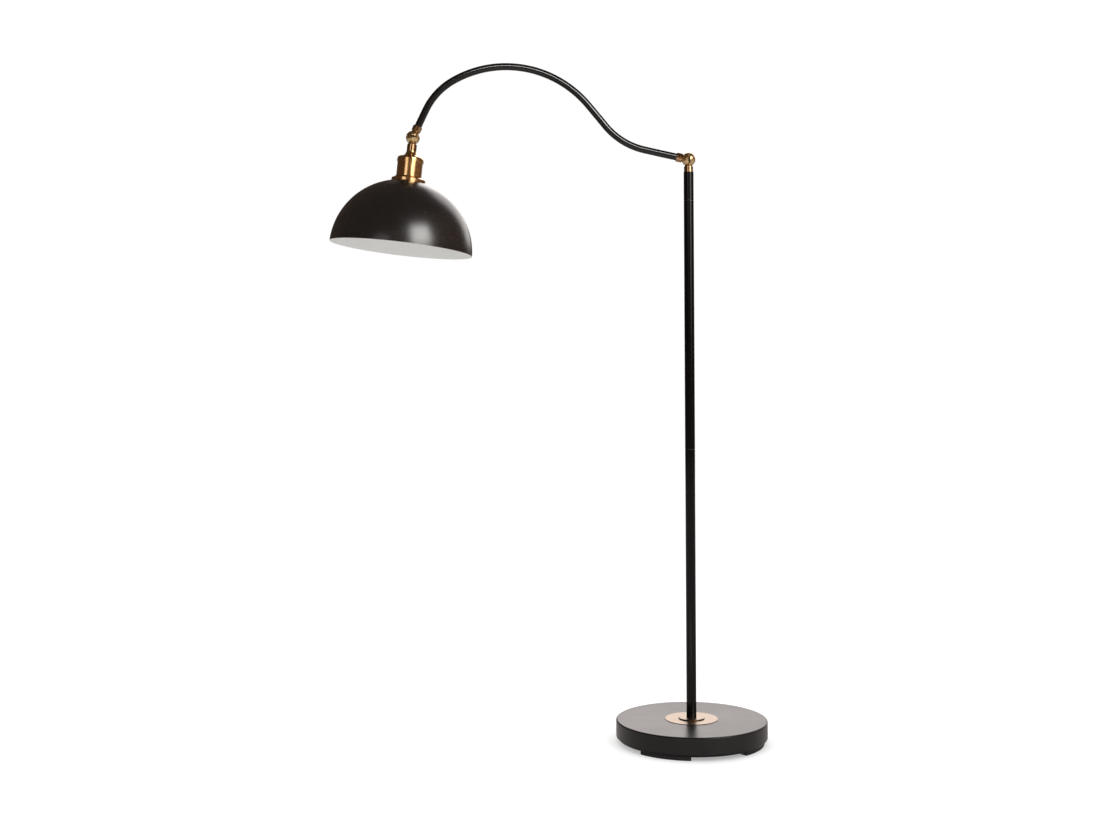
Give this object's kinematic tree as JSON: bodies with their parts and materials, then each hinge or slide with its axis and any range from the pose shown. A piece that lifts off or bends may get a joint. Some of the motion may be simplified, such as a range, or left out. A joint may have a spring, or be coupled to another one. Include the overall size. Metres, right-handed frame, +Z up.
{
  "type": "bridge floor lamp",
  "caption": "Floor lamp with a round weighted base, a straight pole and a crooked arm on a ball pivot, holding a domed metal shade that tilts on its own ball pivot.",
  "frame": {"origin": "on the pole's axis, on the plane of the floor under the foot pads", "axes": "+Z up along the pole, the arm reaches towards -X, +Y is the rear, where the cord goes in, and both pivots turn about Y"},
  "size_m": [0.9164, 0.3218, 1.4377],
  "materials": {
    "black_enamel": "semi-gloss black stove enamel",
    "cast_iron": "rough grey casting",
    "zinc_steel": "zinc plated",
    "rubber": "matte black",
    "satin_brass": "satin pale brass",
    "bright_brass": "polished brass",
    "antique_copper": "antique copper brown, lacquered",
    "socket_brass": "plain pressed brass",
    "black_phenolic": "moulded, slightly glossy",
    "fibre_washer": "vulcanised fibre",
    "white_flex": "matte PVC sheath"
  },
  "bodies": {
    "stand": {"base_cover": "black_enamel", "ballast_weight": "cast_iron", "base_plate": "black_enamel", "base_plate_screws": "zinc_steel", "foot_pads": "rubber", "cord_grommet": "rubber", "base_rosette": "satin_brass", "pole_flange": "satin_brass", "base_nipple": "zinc_steel", "base_washer": "zinc_steel", "base_lock_nut": "zinc_steel", "pole_foot_bush": "zinc_steel", "pole_lower": "black_enamel", "pole_coupler_lower": "zinc_steel", "pole_middle": "black_enamel", "pole_coupler_upper": "zinc_steel", "pole_upper": "black_enamel", "pole_top_bush": "zinc_steel", "pole_knuckle": "bright_brass", "arm_pivot_screw": "bright_brass", "arm_pivot_nut": "bright_brass", "arm_pivot_washer": "fibre_washer", "pole_flex": "white_flex"},
    "arm": {"arm_knuckle": "bright_brass", "arm_tube": "black_enamel", "arm_end_knuckle": "bright_brass", "arm_flex": "white_flex", "head_pivot_screw": "bright_brass", "head_pivot_nut": "bright_brass", "head_pivot_washer": "fibre_washer"},
    "head": {"head_knuckle": "antique_copper", "head_nipple": "zinc_steel", "head_lock_nut": "zinc_steel", "cup_cap": "antique_copper", "cup_sleeve": "antique_copper", "gallery_ring": "antique_copper", "lampholder_cap": "black_phenolic", "lampholder_body": "black_phenolic", "lampholder_shell": "socket_brass", "lampholder_contact": "socket_brass", "lampholder_terminals": "socket_brass", "terminal_screws": "zinc_steel", "shade": "black_enamel", "shade_ring": "black_phenolic", "head_flex": "white_flex"}
  },
  "joints": [
    {"name": "arm_tilt", "type": "hinge", "parent": "stand", "child": "arm", "pos_m": [0, 0, 1.2341], "axis": [0, 1, 0], "range_deg": [-25, 60]},
    {"name": "head_tilt", "type": "hinge", "parent": "arm", "child": "head", "pos_m": [-0.58079, 0, 1.28159], "axis": [0, 1, 0], "range_deg": [-75, 90]}
  ]
}
